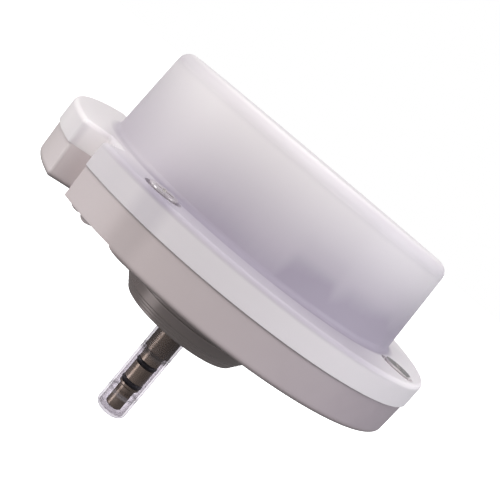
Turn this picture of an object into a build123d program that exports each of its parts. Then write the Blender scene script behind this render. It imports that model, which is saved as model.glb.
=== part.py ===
"""Motorised actuator head: a round housing with a geared motor that turns a sealed valve spindle.

Millimetres, +Z up along the spindle. The origin is on the spindle axis at the hub's seating face.
The cable lobe points along -X.
"""
import os
from math import acos, atan2, cos, degrees, hypot, pi, radians, sin, sqrt, tan

from build123d import *

# ---- Housing -------------------------------------------------------------------------------------
cover_radius = 45.0
base_step = 0.4
base_height = 7.3
base_draft = 2.0
base_edge_radius = 0.7
rim_height = 5.2
rim_edge_radius = 0.9
flange_thickness = 2.0
floor_thickness = 2.0
housing_wall = 2.4
corner_radius = 0.6
ledge_width = 9.8
drum_height = 20.4
drum_draft = 3.0
drum_wall = 2.0
drum_top_radius = 2.7
drum_foot_radius = 1.2

# ---- Cable lobe and the recess beside it ---------------------------------------------------------
lobe_half_angle = 31.2
notch_depth = 6.1
notch_foot_angle = 39.0
notch_mouth_angle = 43.9
notch_overrun = 3.0
recess_end_angle = 61.2
recess_height = 0.8
recess_width = 3.4
recess_ramp = 4.3
recess_ribs = ((51.6, 0.7), (47.2, 0.4))
rib_half_width = 1.4
rib_length = 2.6
rib_setback = 2.0

# ---- Cover screws --------------------------------------------------------------------------------
screw_inset = 5.0
screw_angles = (30, 120, 240, 330)
screw_radius = 1.5
screw_head_radius = 2.9
screw_head_height = 1.8
screw_length = 8.0
counterbore_radius = 3.8
counterbore_depth = 1.4
screw_boss_wall = 1.9
screw_clearance = 0.2
thread_bite = 0.25
cross_width = 0.7
cross_share = 1.3
cross_depth = 0.8

# ---- Cover gasket --------------------------------------------------------------------------------
gasket_inset = 0.8
gasket_width = 0.9
gasket_depth = 0.8

# ---- Adapter hub ---------------------------------------------------------------------------------
hub_height = 11.7
hub_radius = 15.4
hub_ring_count = 3
hub_ring_height = 0.7
hub_ring_step = 0.5
hub_ring_edge = 0.2
hub_groove_height = 4.2
hub_groove_width = 0.4
hub_groove_depth = 0.25
hub_screw_circle = 12.6
hub_screw_count = 3
hub_screw_radius = 1.25
hub_screw_head_radius = 2.2
hub_screw_head_height = 1.2
hub_screw_length = 7.0
seat_hole_circle = 10.5
seat_hole_count = 4
seat_hole_radius = 1.25
seat_hole_depth = 4.5
hub_mouth_gap = 0.6
hub_mouth_depth = 0.8

# ---- Spindle and its bush ------------------------------------------------------------------------
spindle_radius = 3.0
seal_land_radius = 2.4
tip_radius = 1.9
cam_land_radius = 2.5
shoulder_depth = 8.0
tip_shoulder_depth = 17.6
spindle_depth = 22.9
spindle_edge = 0.3
flat_share = 0.7
seal_depths = (11.1, 16.2)
seal_section_radius = 0.6
seal_stand_out = 0.15
bush_wall = 1.5
bush_flange_width = 1.8
bush_flange_thickness = 0.7
bush_start = 3.0
running_clearance = 0.05
hub_clearance = 0.3
ring_thickness = 0.6
ring_width = 2.2
ring_bite = 0.6
ring_gap = 0.1

# ---- Transport sleeve ----------------------------------------------------------------------------
sleeve_wall = 0.55
sleeve_floor = 0.9
sleeve_gap = 0.3
sleeve_tip_gap = 0.6
sleeve_end_radius = 1.5
sleeve_groove_depths = (8.2, 19.3)
sleeve_groove_size = 0.3

# ---- Gear train ----------------------------------------------------------------------------------
pressure_angle = radians(20)
addendum = 0.75
dedendum = 1.0
tooth_thinning = 0.12
output_module = 0.6
train_module = 0.5
output_teeth = 60
pinion_teeth = 14
intermediate_teeth = 48
first_teeth = 42
output_gear_start = 2.0
output_gear_thickness = 2.6
gear_hub_radius = 5.2
gear_hub_height = 4.8
train_wheel_thickness = 1.5
train_gap = 0.5
pinion_overhang = 0.4
gear_end_gap = 0.3
axle_radius = 1.0
axle_sink = 1.0
axle_boss_radius = 2.2
axle_boss_height = 0.8
spacer_radius = 1.9
intermediate_angle = 55.2
motor_axis = (17.5, -8.86)

# ---- Gear plate ----------------------------------------------------------------------------------
gearbox_height = 10.2
plate_thickness = 1.2
plate_margin = 2.6
post_radius = 2.1
post_places = ((22.0, 145), (21.6, 230), (30.0, 308), (29.0, 97))
prop_place = (30.3, 337)
plate_screw_radius = 1.0
plate_screw_head_radius = 1.9
plate_screw_head_height = 1.1
plate_screw_length = 6.0

# ---- Motor ---------------------------------------------------------------------------------------
motor_radius = 12.0
motor_height = 11.8
motor_edge_radius = 1.5
end_plate_radius = 12.5
end_plate_thickness = 0.8
motor_shaft_radius = 1.0
motor_shaft_reach = 3.0
motor_shaft_clearance = 1.0
motor_screw_circle = 9.0
motor_screw_angles = (270, 180)
motor_screw_radius = 0.8
motor_screw_head_radius = 1.6
motor_screw_head_height = 0.9
motor_screw_length = 4.0
motor_pinion_length = 2.2

# ---- Switches and cam ----------------------------------------------------------------------------
cam_high_radius = 7.4
cam_low_radius = 6.8
cam_core_radius = 5.0
cam_height = 3.6
cam_ramp = 90
cam_dwell = 60
cam_steps = 6
cam_gap = 0.3
switch_length = 12.8
switch_depth = 6.5
switch_height = 5.8
switch_spacing = 0.3
switch_stand_off = 0.6
plunger_radius = 0.8
plunger_length = 2.4
switch_screw_spread = 3.4
switch_screw_setback = 4.9
switch_screw_radius = 0.9
switch_screw_head_radius = 1.5
switch_screw_head_height = 1.0
terminal_spread = 4.4
terminal_blade = (3.0, 1.6, 0.4)
spindle_over_cam = 1.0

# ---- Circuit board and what it carries -----------------------------------------------------------
board_inner_radius = 20.8
board_outer_radius = 35.2
board_angles = (197, 298)
board_lift = 2.0
board_thickness = 1.6
board_post_radius = 2.0
board_post_places = ((33.0, 238), (22.6, 200), (33.0, 282))
board_screw_radius = 0.9
board_screw_head_radius = 1.6
board_screw_head_height = 0.9
board_screw_length = 3.0
relay_size = (9.5, 7.6, 14.4)
relay_place = (8.65, -25.3)
relay_clearance = 0.6
capacitor_size = (5.0, 12.0, 10.0)
capacitor_place = (29.2, 254)
terminal_block_size = (6.6, 15.0, 9.0)
terminal_block_place = (28.0, 214)
terminal_ways = 3
terminal_pitch = 5.0
terminal_wire_radius = 1.2
terminal_wire_height = 2.25
terminal_screw_radius = 1.4
terminal_screw_depth = 4.0
slot_width = 0.5
slot_depth = 0.6

# ---- Cable entry ---------------------------------------------------------------------------------
cable_radius = 2.5
grommet_recess = 0.2
grommet_neck_wall = 0.8
grommet_collar_wall = 1.4
grommet_collar_gap = 0.25
grommet_collar_thickness = 1.2
clamp_inset = 9.0
clamp_length = 18.0
clamp_width = 5.0
clamp_thickness = 1.6
clamp_screw_spread = 6.6
clamp_post_radius = 2.2
clamp_screw_radius = 1.0
clamp_screw_head_radius = 1.8
clamp_screw_head_height = 0.7
clamp_screw_length = 5.0
saddle_width = 2.0

edge_match = 0.01

# ---- Levels that follow --------------------------------------------------------------------------
base_bottom = hub_height
floor_top = base_bottom + floor_thickness
parting = base_bottom + base_height
flange_top = parting + rim_height
flange_underside = flange_top - flange_thickness
drum_top = flange_top + drum_height
plate_bottom = floor_top + gearbox_height
plate_top = plate_bottom + plate_thickness
base_radius = cover_radius - base_step
drum_radius = cover_radius - ledge_width
drum_roof_radius = drum_radius - drum_height * tan(radians(drum_draft))
screw_circle = cover_radius - screw_inset
screw_boss_radius = screw_radius + screw_boss_wall
bush_radius = spindle_radius + bush_wall
sleeve_bore = spindle_radius + running_clearance
sleeve_radius = sleeve_bore + sleeve_wall
board_top = floor_top + board_lift + board_thickness
cable_level = (floor_top + flange_underside) / 2

# The wheels stack upwards from the output gear, each clear of the one below.
output_gear_bottom = floor_top + output_gear_start
output_gear_top = output_gear_bottom + output_gear_thickness
intermediate_wheel_bottom = output_gear_top + train_gap
intermediate_wheel_top = intermediate_wheel_bottom + train_wheel_thickness
first_wheel_bottom = intermediate_wheel_top + train_gap
ring_bottom = floor_top + bush_flange_thickness + ring_gap
gear_hub_bottom = ring_bottom + ring_thickness
gear_hub_top = gear_hub_bottom + gear_hub_height

# The two cams sit above the gear plate, level with the two stacked switches.
lower_switch_bottom = plate_top
upper_switch_bottom = lower_switch_bottom + switch_height + switch_spacing
lower_cam_middle = lower_switch_bottom + switch_height / 2
upper_cam_middle = upper_switch_bottom + switch_height / 2
switch_stack_top = upper_switch_bottom + switch_height
cam_bottom = lower_cam_middle - cam_height / 2
cam_top = upper_cam_middle + cam_height / 2
spindle_top = cam_top + spindle_over_cam
switch_face = cam_high_radius + cam_gap + switch_stand_off


def polar(radius, angle):
    """Point at a radius and an angle in degrees."""
    return (radius * cos(radians(angle)), radius * sin(radians(angle)))


def at_level(points, level):
    """The same plan points at one height."""
    return [(x, y, level) for x, y in points]


def radial_plane(radius, angle, side, level):
    """Upright plane across a radius, with +X leading away from the lobe and +Y up."""
    outward = (cos(radians(angle)), sin(radians(angle)))
    return Plane(
        origin=(*polar(radius, angle), level),
        x_dir=(-side * outward[1], side * outward[0], 0),
        z_dir=(side * outward[0], side * outward[1], 0),
    )


def rings_at(piece, corners):
    """Circular edges of a turned piece that have one of the given radii and heights."""
    return [
        edge
        for edge in piece.edges().filter_by(GeomType.CIRCLE)
        for radius, level in corners
        if abs(edge.radius - radius) < edge_match and abs(edge.center().Z - level) < edge_match
    ]


# ---- Places of the gear axes ---------------------------------------------------------------------
def pitch_radius(module, teeth):
    return module * teeth / 2


output_reach = pitch_radius(output_module, output_teeth) + pitch_radius(output_module, pinion_teeth)
intermediate_reach = pitch_radius(train_module, intermediate_teeth) + pitch_radius(train_module, pinion_teeth)
first_reach = pitch_radius(train_module, first_teeth) + pitch_radius(train_module, pinion_teeth)
intermediate_axis = polar(output_reach, intermediate_angle)


def crossing(centre, radius, other_centre, other_radius):
    """Point at given distances from two centres, on the left of the line from the first to the second."""
    span = hypot(other_centre[0] - centre[0], other_centre[1] - centre[1])
    along = (span**2 + radius**2 - other_radius**2) / (2 * span)
    across = sqrt(radius**2 - along**2)
    run = ((other_centre[0] - centre[0]) / span, (other_centre[1] - centre[1]) / span)
    return (
        centre[0] + along * run[0] - across * run[1],
        centre[1] + along * run[1] + across * run[0],
    )


first_axis = crossing(intermediate_axis, intermediate_reach, motor_axis, first_reach)


def heading(start, end):
    """Direction in degrees from one plan point to another."""
    return degrees(atan2(end[1] - start[1], end[0] - start[0]))


def meshed_turn(turn, teeth, direction, mate_teeth):
    """Turn of the mating gear that puts a gap opposite each tooth on the line of centres."""
    phase = (direction - turn) * teeth / 360
    return direction + 180 - (0.5 - phase) * 360 / mate_teeth


def involute(angle):
    return tan(angle) - angle


def gear_outline(centre, module, teeth, turn):
    """Spur gear profile with stub involute teeth, one of them along the turn angle."""
    pitch = pitch_radius(module, teeth)
    base = pitch * cos(pressure_angle)
    root = pitch - dedendum * module
    tip = pitch + addendum * module
    half_tooth = (pi * module - tooth_thinning) / 4 / pitch + involute(pressure_angle)
    flank_radii = [root] + [radius for radius in (base, pitch, tip) if radius > root]
    flank = [(radius, half_tooth - involute(acos(min(1, base / radius)))) for radius in flank_radii]
    points = []
    for tooth in range(teeth):
        middle = turn + tooth * 360 / teeth
        points += [polar(radius, middle - degrees(half)) for radius, half in flank]
        points += [polar(radius, middle + degrees(half)) for radius, half in reversed(flank)]
    with BuildSketch() as profile:
        with BuildLine():
            Polyline(*[(centre[0] + x, centre[1] + y) for x, y in points], close=True)
        make_face()
    return profile.sketch


def flatted_disc(radius):
    """Round section with one flat that keys a part to the spindle."""
    with BuildSketch() as section:
        Circle(radius)
        with Locations((flat_share * radius, 0)):
            Rectangle(radius, 2 * radius, align=(Align.MIN, Align.CENTER), mode=Mode.SUBTRACT)
    return section.sketch


def housing_outline(radius, inset):
    """Housing outline, drawn inset by a wall, with the notch on each side of the cable lobe."""
    notch_foot = cover_radius - notch_depth
    notch_mouth = cover_radius + notch_overrun
    with BuildSketch() as notches:
        for side in (1, -1):
            with BuildLine():
                Polyline(
                    polar(notch_foot, 180 + side * lobe_half_angle),
                    polar(notch_mouth, 180 + side * lobe_half_angle),
                    polar(notch_mouth, 180 + side * notch_mouth_angle),
                    polar(notch_foot, 180 + side * notch_foot_angle),
                    close=True,
                )
            make_face()
        if inset > 0:
            offset(amount=inset, kind=Kind.INTERSECTION)
    with BuildSketch() as outline:
        Circle(radius - inset)
        add(notches.sketch, mode=Mode.SUBTRACT)
        fillet(outline.vertices(), radius=corner_radius)
    return outline.sketch


def ring_profile(inner, outer, bottom, top):
    """Half section of a ring, drawn in the XZ plane."""
    with BuildSketch(Plane.XZ) as profile:
        with Locations((inner, bottom)):
            Rectangle(outer - inner, top - bottom, align=(Align.MIN, Align.MIN))
    return profile.sketch


def screw_group(seats, head_radius, head_height, shank_radius, length, upward=True):
    """Cross-head screws, each with its head seated at a point and its shank through it."""
    way = 1 if upward else -1
    head_align = (Align.CENTER, Align.CENTER, Align.MIN if upward else Align.MAX)
    shank_align = (Align.CENTER, Align.CENTER, Align.MAX if upward else Align.MIN)
    crowns = [(x, y, z + way * head_height) for x, y, z in seats]
    arm = cross_share * head_radius
    with Locations(*seats):
        Cylinder(head_radius, head_height, align=head_align)
        Cylinder(shank_radius, length, align=shank_align)
    with Locations(*crowns):
        Box(arm, cross_width * head_radius / screw_head_radius, cross_depth, mode=Mode.SUBTRACT)
        Box(cross_width * head_radius / screw_head_radius, arm, cross_depth, mode=Mode.SUBTRACT)


screw_points = [polar(screw_circle, angle) for angle in screw_angles]
post_points = [polar(radius, angle) for radius, angle in post_places]
prop_point = polar(*prop_place)
board_post_points = [polar(radius, angle) for radius, angle in board_post_places]
hub_screw_points = [polar(hub_screw_circle, 90 + turn * 360 / hub_screw_count) for turn in range(hub_screw_count)]
seat_hole_points = [polar(seat_hole_circle, turn * 360 / seat_hole_count) for turn in range(seat_hole_count)]
motor_screw_points = [
    (motor_axis[0] + x, motor_axis[1] + y)
    for x, y in (polar(motor_screw_circle, angle) for angle in motor_screw_angles)
]
clamp_x = -(cover_radius - clamp_inset)
clamp_points = [(clamp_x, side * clamp_screw_spread) for side in (-1, 1)]
clamp_bottom = cable_level + cable_radius - saddle_width / 2
switch_x = -(switch_face + switch_depth / 2)
switch_screw_points = [
    (-(switch_face + switch_screw_setback), side * switch_screw_spread) for side in (-1, 1)
]
terminal_block_point = polar(*terminal_block_place)
capacitor_point = polar(*capacitor_place)
cover_outline = housing_outline(cover_radius, 0)
cavity_outline = housing_outline(base_radius, housing_wall)
gasket_outer = housing_outline(base_radius, gasket_inset)
gasket_inner = housing_outline(base_radius, gasket_inset + gasket_width)
neck_radius = cable_radius + grommet_neck_wall
collar_radius = cable_radius + grommet_collar_wall
entry_start = base_radius - grommet_recess
collar_start = base_radius - housing_wall - grommet_collar_gap
entry_length = entry_start - collar_start + grommet_collar_thickness
entry_plane = Plane(origin=(-entry_start, 0, cable_level), z_dir=(1, 0, 0))
bore_plane = Plane(origin=(-cover_radius, 0, cable_level), z_dir=(1, 0, 0))

# ---- Base shell: shallow tray with every post and boss that carries the works --------------------
with BuildPart() as base_shell:
    with BuildSketch(Plane.XY.offset(base_bottom)):
        add(housing_outline(base_radius - base_height * tan(radians(base_draft)), 0))
    with BuildSketch(Plane.XY.offset(parting)):
        add(housing_outline(base_radius, 0))
    loft()
    fillet(base_shell.faces().sort_by(Axis.Z)[0].edges(), radius=base_edge_radius)
    with BuildSketch(Plane.XY.offset(floor_top)):
        add(cavity_outline)
    extrude(amount=base_height, mode=Mode.SUBTRACT)
    # The lower edge is relieved beside the lobe, with two rounded ribs left standing on each side,
    # and it runs out to the full depth in a curve.
    for side in (1, -1):
        start_angle = 180 + side * notch_foot_angle
        with BuildSketch(Plane.XY.offset(base_bottom)):
            with BuildLine():
                Polyline(
                    polar(base_radius - recess_width, start_angle),
                    polar(cover_radius + notch_overrun, start_angle),
                    polar(cover_radius + notch_overrun, 180 + side * recess_end_angle),
                    polar(base_radius - recess_width, 180 + side * recess_end_angle),
                    close=True,
                )
            make_face()
        extrude(amount=recess_height, mode=Mode.SUBTRACT)
        with BuildSketch(radial_plane(base_radius, 180 + side * recess_end_angle, side, base_bottom)):
            Rectangle(recess_ramp, recess_height, align=(Align.MIN, Align.MIN))
            with Locations((recess_ramp, recess_height)):
                Ellipse(recess_ramp, recess_height, mode=Mode.SUBTRACT)
        extrude(amount=recess_width, both=True, mode=Mode.SUBTRACT)
        for rib_angle, rib_height in recess_ribs:
            rib_plane = radial_plane(
                base_radius - rib_setback, 180 + side * rib_angle, side, base_bottom + recess_height
            )
            with BuildSketch(rib_plane):
                Ellipse(rib_half_width, rib_height)
            extrude(amount=rib_length / 2, both=True)
    with Locations(*at_level(screw_points, floor_top)):
        Cylinder(screw_boss_radius, parting - floor_top, align=(Align.CENTER, Align.CENTER, Align.MIN))
    with Locations(*at_level(post_points + [prop_point], floor_top)):
        Cylinder(post_radius, gearbox_height, align=(Align.CENTER, Align.CENTER, Align.MIN))
    with Locations(*at_level(board_post_points, floor_top)):
        Cylinder(board_post_radius, board_lift, align=(Align.CENTER, Align.CENTER, Align.MIN))
    with Locations(*at_level([intermediate_axis, first_axis], floor_top)):
        Cylinder(axle_boss_radius, axle_boss_height, align=(Align.CENTER, Align.CENTER, Align.MIN))
    with Locations(*at_level(clamp_points, floor_top)):
        Cylinder(clamp_post_radius, clamp_bottom - floor_top, align=(Align.CENTER, Align.CENTER, Align.MIN))
    with Locations((clamp_x, 0, floor_top)):
        Box(
            saddle_width,
            2 * cable_radius,
            cable_level - cable_radius - floor_top,
            align=(Align.CENTER, Align.CENTER, Align.MIN),
        )
    with Locations(*at_level(screw_points, parting)):
        Hole(screw_radius - thread_bite, depth=screw_length - counterbore_depth)
    with Locations(*at_level(post_points, plate_bottom)):
        Hole(plate_screw_radius, depth=plate_screw_length - plate_thickness)
    with Locations(*at_level(board_post_points, floor_top + board_lift)):
        Hole(board_screw_radius, depth=board_screw_length - board_thickness)
    with Locations(*at_level([intermediate_axis, first_axis], floor_top + axle_boss_height)):
        Hole(axle_radius, depth=axle_boss_height + axle_sink)
    with Locations(*at_level(clamp_points, clamp_bottom)):
        Hole(clamp_screw_radius, depth=clamp_screw_length - clamp_thickness)
    with Locations(*at_level(hub_screw_points, floor_top)):
        Hole(hub_screw_radius, depth=floor_thickness)
    with Locations((0, 0, floor_top)):
        Hole(bush_radius, depth=floor_thickness)
    with BuildSketch(Plane.XY.offset(parting - gasket_depth)):
        add(gasket_outer)
        add(gasket_inner, mode=Mode.SUBTRACT)
    extrude(amount=gasket_depth, mode=Mode.SUBTRACT)
    with Locations(bore_plane):
        Cylinder(
            neck_radius,
            cover_radius - collar_start,
            align=(Align.CENTER, Align.CENTER, Align.MIN),
            mode=Mode.SUBTRACT,
        )

# ---- Top cover: rim, flange and raised drum in one translucent moulding --------------------------
with BuildPart() as top_cover:
    with BuildSketch(Plane.XY.offset(parting)):
        add(cover_outline)
    extrude(amount=rim_height)
    fillet(top_cover.faces().sort_by(Axis.Z)[-1].edges(), radius=rim_edge_radius)
    with BuildSketch(Plane.XZ):
        with BuildLine():
            Polyline(
                (0, flange_underside),
                (drum_radius, flange_underside),
                (drum_radius, flange_top),
                (drum_roof_radius, drum_top),
                (0, drum_top),
                close=True,
            )
        make_face()
    revolve(axis=Axis.Z)
    fillet(top_cover.faces().sort_by(Axis.Z)[-1].edges(), radius=drum_top_radius)
    fillet(rings_at(top_cover, ((drum_radius, flange_top),)), radius=drum_foot_radius)
    with BuildSketch(Plane.XY.offset(parting)):
        add(cavity_outline)
    extrude(amount=flange_underside - parting, mode=Mode.SUBTRACT)
    with BuildSketch(Plane.XZ):
        with BuildLine():
            Polyline(
                (0, parting),
                (drum_radius - drum_wall, parting),
                (drum_radius - drum_wall, flange_top),
                (drum_roof_radius - drum_wall, drum_top - drum_wall),
                (0, drum_top - drum_wall),
                close=True,
            )
        make_face()
    revolve(axis=Axis.Z, mode=Mode.SUBTRACT)
    with Locations(*at_level(screw_points, parting)):
        Cylinder(
            screw_boss_radius + screw_clearance,
            flange_underside - parting,
            align=(Align.CENTER, Align.CENTER, Align.MIN),
        )
    with Locations(*at_level(screw_points, flange_top)):
        CounterBoreHole(
            radius=screw_radius + screw_clearance,
            counter_bore_radius=counterbore_radius,
            counter_bore_depth=counterbore_depth,
            depth=rim_height,
        )
    with Locations(bore_plane):
        Cylinder(
            neck_radius,
            cover_radius - collar_start,
            align=(Align.CENTER, Align.CENTER, Align.MIN),
            mode=Mode.SUBTRACT,
        )

with BuildPart() as cover_gasket:
    with BuildSketch(Plane.XY.offset(parting - gasket_depth)):
        add(gasket_outer)
        add(gasket_inner, mode=Mode.SUBTRACT)
    extrude(amount=gasket_depth)
    with Locations(bore_plane):
        Cylinder(
            neck_radius,
            cover_radius - collar_start,
            align=(Align.CENTER, Align.CENTER, Align.MIN),
            mode=Mode.SUBTRACT,
        )

with BuildPart() as cover_screws:
    screw_group(
        at_level(screw_points, flange_top - counterbore_depth),
        screw_head_radius,
        screw_head_height,
        screw_radius - thread_bite,
        screw_length,
    )

# ---- Adapter hub: ringed boss that seats on the valve --------------------------------------------
with BuildPart() as adapter_hub:
    Cylinder(hub_radius, hub_height, align=(Align.CENTER, Align.CENTER, Align.MIN))
    for ring in range(hub_ring_count):
        ring_radius = hub_radius - hub_ring_step * (hub_ring_count - ring)
        add(
            revolve(
                ring_profile(ring_radius, hub_radius, ring * hub_ring_height, (ring + 1) * hub_ring_height),
                axis=Axis.Z,
                mode=Mode.PRIVATE,
            ),
            mode=Mode.SUBTRACT,
        )
    ring_corners = [
        (hub_radius - hub_ring_step * (hub_ring_count - ring), ring * hub_ring_height)
        for ring in range(hub_ring_count + 1)
    ]
    chamfer(rings_at(adapter_hub, ring_corners), length=hub_ring_edge)
    add(
        revolve(
            ring_profile(
                hub_radius - hub_groove_depth,
                hub_radius + hub_groove_depth,
                hub_groove_height,
                hub_groove_height + hub_groove_width,
            ),
            axis=Axis.Z,
            mode=Mode.PRIVATE,
        ),
        mode=Mode.SUBTRACT,
    )
    Hole(spindle_radius + hub_clearance)
    Cylinder(
        sleeve_radius + hub_mouth_gap,
        hub_mouth_depth,
        align=(Align.CENTER, Align.CENTER, Align.MIN),
        mode=Mode.SUBTRACT,
    )
    with Locations((0, 0, hub_height)):
        Hole(bush_radius, depth=hub_height - bush_start)
    with Locations(*at_level(hub_screw_points, hub_height)):
        Hole(hub_screw_radius, depth=hub_screw_length - floor_thickness)
    with Locations(*at_level(seat_hole_points, 0)):
        Cylinder(
            seat_hole_radius,
            seat_hole_depth,
            align=(Align.CENTER, Align.CENTER, Align.MIN),
            mode=Mode.SUBTRACT,
        )

with BuildPart() as hub_screws:
    screw_group(
        at_level(hub_screw_points, floor_top),
        hub_screw_head_radius,
        hub_screw_head_height,
        hub_screw_radius,
        hub_screw_length,
    )

with BuildPart() as spindle_bush:
    with BuildSketch(Plane.XY.offset(bush_start)):
        Circle(bush_radius)
    extrude(amount=floor_top - bush_start)
    with BuildSketch(Plane.XY.offset(floor_top)):
        Circle(bush_radius + bush_flange_width)
    extrude(amount=bush_flange_thickness)
    with Locations((0, 0, floor_top + bush_flange_thickness)):
        Hole(spindle_radius + running_clearance, depth=hub_height + floor_thickness)

# ---- Spindle: stepped stem with two seal grooves, keyed above the bush ---------------------------
with BuildPart() as spindle:
    with BuildSketch(Plane.XZ):
        with BuildLine():
            Polyline(
                (0, -spindle_depth),
                (tip_radius, -spindle_depth),
                (tip_radius, -tip_shoulder_depth),
                (seal_land_radius, -tip_shoulder_depth),
                (seal_land_radius, -shoulder_depth),
                (spindle_radius, -shoulder_depth),
                (spindle_radius, gear_hub_top),
                (cam_land_radius, gear_hub_top),
                (cam_land_radius, spindle_top),
                (0, spindle_top),
                close=True,
            )
        make_face()
    revolve(axis=Axis.Z)
    stem_corners = (
        (tip_radius, -spindle_depth),
        (seal_land_radius, -tip_shoulder_depth),
        (spindle_radius, -shoulder_depth),
        (cam_land_radius, spindle_top),
    )
    chamfer(rings_at(spindle, stem_corners), length=spindle_edge)
    for depth in seal_depths:
        groove_floor = seal_land_radius + seal_stand_out - 2 * seal_section_radius
        groove = ring_profile(groove_floor, spindle_radius, -depth - seal_section_radius, -depth + seal_section_radius)
        add(revolve(groove, axis=Axis.Z, mode=Mode.PRIVATE), mode=Mode.SUBTRACT)
    ring_groove = ring_profile(spindle_radius - ring_bite, 2 * spindle_radius, ring_bottom, gear_hub_bottom)
    add(revolve(ring_groove, axis=Axis.Z, mode=Mode.PRIVATE), mode=Mode.SUBTRACT)
    with Locations((flat_share * spindle_radius, 0, gear_hub_bottom)):
        Box(
            spindle_radius,
            2 * spindle_radius,
            gear_hub_top - gear_hub_bottom,
            align=(Align.MIN, Align.CENTER, Align.MIN),
            mode=Mode.SUBTRACT,
        )
    with Locations((flat_share * cam_land_radius, 0, cam_bottom)):
        Box(
            cam_land_radius,
            2 * cam_land_radius,
            spindle_top - cam_bottom,
            align=(Align.MIN, Align.CENTER, Align.MIN),
            mode=Mode.SUBTRACT,
        )

with BuildPart() as spindle_seals:
    for depth in seal_depths:
        seal_centre_radius = seal_land_radius + seal_stand_out - seal_section_radius
        with BuildSketch(Plane.XZ):
            with Locations((seal_centre_radius, -depth)):
                Circle(seal_section_radius)
        revolve(axis=Axis.Z)

with BuildPart() as retaining_ring:
    with BuildSketch(Plane.XY.offset(ring_bottom)):
        Circle(spindle_radius - ring_bite + ring_width)
        Circle(spindle_radius - ring_bite, mode=Mode.SUBTRACT)
        Rectangle(
            2 * spindle_radius,
            2 * (spindle_radius - ring_bite) * flat_share,
            align=(Align.MIN, Align.CENTER),
            mode=Mode.SUBTRACT,
        )
    extrude(amount=ring_thickness)

# ---- Transport sleeve: clear closed tube over the spindle's free end -----------------------------
sleeve_bottom = -(spindle_depth + sleeve_tip_gap + sleeve_floor)
with BuildPart() as transport_sleeve:
    with Locations((0, 0, -sleeve_gap)):
        Cylinder(sleeve_radius, -sleeve_bottom - sleeve_gap, align=(Align.CENTER, Align.CENTER, Align.MAX))
    fillet(transport_sleeve.edges().group_by(Axis.Z)[0], radius=sleeve_end_radius)
    with Locations((0, 0, -sleeve_gap)):
        Hole(sleeve_bore, depth=spindle_depth + sleeve_tip_gap - sleeve_gap)
    for depth in sleeve_groove_depths:
        with BuildSketch(Plane.XZ):
            with BuildLine():
                Polyline(
                    (sleeve_radius + sleeve_groove_size, -depth - 2 * sleeve_groove_size),
                    (sleeve_radius + sleeve_groove_size, -depth + 2 * sleeve_groove_size),
                    (sleeve_radius - sleeve_groove_size, -depth),
                    close=True,
                )
            make_face()
        revolve(axis=Axis.Z, mode=Mode.SUBTRACT)

# ---- Gear train ----------------------------------------------------------------------------------
spindle_axis = (0, 0)
output_turn = 0
intermediate_pinion_turn = meshed_turn(
    output_turn, output_teeth, heading(spindle_axis, intermediate_axis), pinion_teeth
)
intermediate_wheel_turn = 0
first_pinion_turn = meshed_turn(
    intermediate_wheel_turn, intermediate_teeth, heading(intermediate_axis, first_axis), pinion_teeth
)
first_wheel_turn = 0
motor_pinion_turn = meshed_turn(first_wheel_turn, first_teeth, heading(first_axis, motor_axis), pinion_teeth)

with BuildPart() as output_gear:
    with BuildSketch(Plane.XY.offset(output_gear_bottom)):
        add(gear_outline(spindle_axis, output_module, output_teeth, output_turn))
    extrude(amount=output_gear_thickness)
    with BuildSketch(Plane.XY.offset(gear_hub_bottom)):
        Circle(gear_hub_radius)
    extrude(amount=gear_hub_height)
    with BuildSketch(Plane.XY.offset(gear_hub_bottom)):
        add(flatted_disc(spindle_radius))
    extrude(amount=gear_hub_height, mode=Mode.SUBTRACT)


def free_gear(axis, pinion_module, pinion_turn, wheel_teeth, wheel_turn, pinion_bottom, wheel_bottom):
    """Double gear that turns freely on its axle: a pinion below a wheel, between two spacers."""
    lower_end = floor_top + axle_boss_height + gear_end_gap
    upper_end = plate_bottom - gear_end_gap
    with BuildSketch(Plane.XY.offset(pinion_bottom)) as pinion:
        add(gear_outline(axis, pinion_module, pinion_teeth, pinion_turn))
    extrude(pinion.sketch, amount=wheel_bottom - pinion_bottom)
    with BuildSketch(Plane.XY.offset(wheel_bottom)) as wheel:
        add(gear_outline(axis, train_module, wheel_teeth, wheel_turn))
    extrude(wheel.sketch, amount=train_wheel_thickness)
    with Locations((*axis, lower_end)):
        Cylinder(spacer_radius, upper_end - lower_end, align=(Align.CENTER, Align.CENTER, Align.MIN))
    with Locations((*axis, upper_end)):
        Hole(axle_radius + running_clearance, depth=upper_end - lower_end)


with BuildPart() as intermediate_gear:
    free_gear(
        intermediate_axis,
        output_module,
        intermediate_pinion_turn,
        intermediate_teeth,
        intermediate_wheel_turn,
        output_gear_bottom - pinion_overhang,
        intermediate_wheel_bottom,
    )

with BuildPart() as first_gear:
    free_gear(
        first_axis,
        train_module,
        first_pinion_turn,
        first_teeth,
        first_wheel_turn,
        intermediate_wheel_bottom - pinion_overhang,
        first_wheel_bottom,
    )

with BuildPart() as motor_pinion:
    with BuildSketch(Plane.XY.offset(first_wheel_bottom - pinion_overhang)):
        add(gear_outline(motor_axis, train_module, pinion_teeth, motor_pinion_turn))
    extrude(amount=motor_pinion_length)
    with Locations((*motor_axis, first_wheel_bottom - pinion_overhang)):
        Cylinder(
            motor_shaft_radius,
            plate_top + motor_shaft_reach - first_wheel_bottom + pinion_overhang,
            align=(Align.CENTER, Align.CENTER, Align.MIN),
        )

with BuildPart() as gear_axles:
    with Locations(*at_level([intermediate_axis, first_axis], plate_top)):
        Cylinder(
            axle_radius,
            plate_top - floor_top + axle_sink,
            align=(Align.CENTER, Align.CENTER, Align.MAX),
        )

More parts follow.
